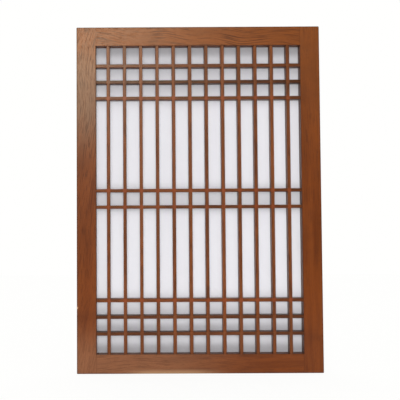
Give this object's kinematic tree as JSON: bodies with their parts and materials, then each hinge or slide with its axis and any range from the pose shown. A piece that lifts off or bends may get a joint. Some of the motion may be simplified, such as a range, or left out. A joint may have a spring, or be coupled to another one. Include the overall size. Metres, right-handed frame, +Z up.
{
  "type": "latticed door panel",
  "caption": "Brown stained wooden door or window leaf: a plain tenoned frame around a lattice of slender halved bars in bands, with white translucent paper behind.",
  "frame": {"origin": "middle of the bottom edge, halfway through the thickness of the frame", "axes": "+Z up the height of the panel, +X to the right seen from the front, the front faces -Y"},
  "size_m": [0.6, 0.03, 0.85],
  "materials": {
    "frame_wood": "satin stained and lacquered",
    "lattice_wood": "satin stained and lacquered",
    "paper": "matt, translucent"
  },
  "bodies": {
    "root": {"left_stile": "frame_wood", "right_stile": "frame_wood", "top_rail": "frame_wood", "bottom_rail": "frame_wood", "vertical_bar_01": "lattice_wood", "vertical_bar_02": "lattice_wood", "vertical_bar_03": "lattice_wood", "vertical_bar_04": "lattice_wood", "vertical_bar_05": "lattice_wood", "vertical_bar_06": "lattice_wood", "vertical_bar_07": "lattice_wood", "vertical_bar_08": "lattice_wood", "vertical_bar_09": "lattice_wood", "vertical_bar_10": "lattice_wood", "vertical_bar_11": "lattice_wood", "vertical_bar_12": "lattice_wood", "horizontal_bar_01": "lattice_wood", "horizontal_bar_02": "lattice_wood", "horizontal_bar_03": "lattice_wood", "horizontal_bar_04": "lattice_wood", "horizontal_bar_05": "lattice_wood", "horizontal_bar_06": "lattice_wood", "horizontal_bar_07": "lattice_wood", "horizontal_bar_08": "lattice_wood", "paper_sheet": "paper"}
  },
  "joints": []
}
